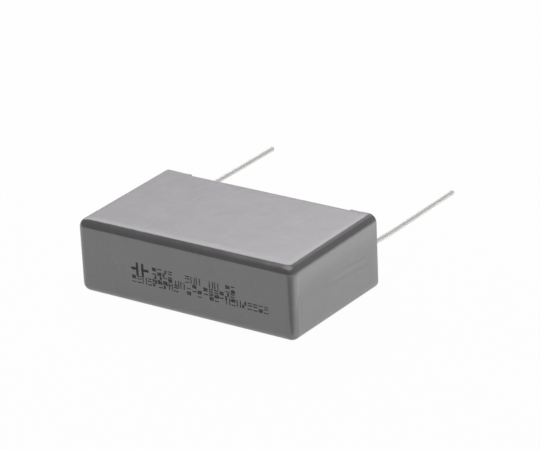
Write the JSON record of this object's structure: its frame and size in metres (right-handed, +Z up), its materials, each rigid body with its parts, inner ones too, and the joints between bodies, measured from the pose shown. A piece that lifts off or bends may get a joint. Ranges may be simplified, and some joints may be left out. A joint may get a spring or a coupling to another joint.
{
  "type": "box film capacitor",
  "caption": "Box film capacitor: a potted grey plastic housing with a round-edged closed end, stand-off feet at its mouth, and long straight tinned leads.",
  "frame": {"origin": "middle of the large side that the capacitor lies on", "axes": "+X along the housing's long side, +Y the way the leads point, out of the housing's mouth, +Z up, through the housing's thickness"},
  "size_m": [0.0414, 0.053, 0.0128],
  "materials": {
    "housing_plastic": "satin",
    "potting_resin": "satin",
    "metallised_film": "gloss",
    "plain_film": "gloss",
    "sprayed_zinc": "matte",
    "tinned_wire": "satin"
  },
  "bodies": {
    "root": {"housing": "housing_plastic", "resin_fill": "potting_resin", "film_roll": "metallised_film", "cover_film": "plain_film", "end_spray_left": "sprayed_zinc", "end_spray_right": "sprayed_zinc", "lead_left": "tinned_wire", "lead_right": "tinned_wire"}
  },
  "joints": []
}
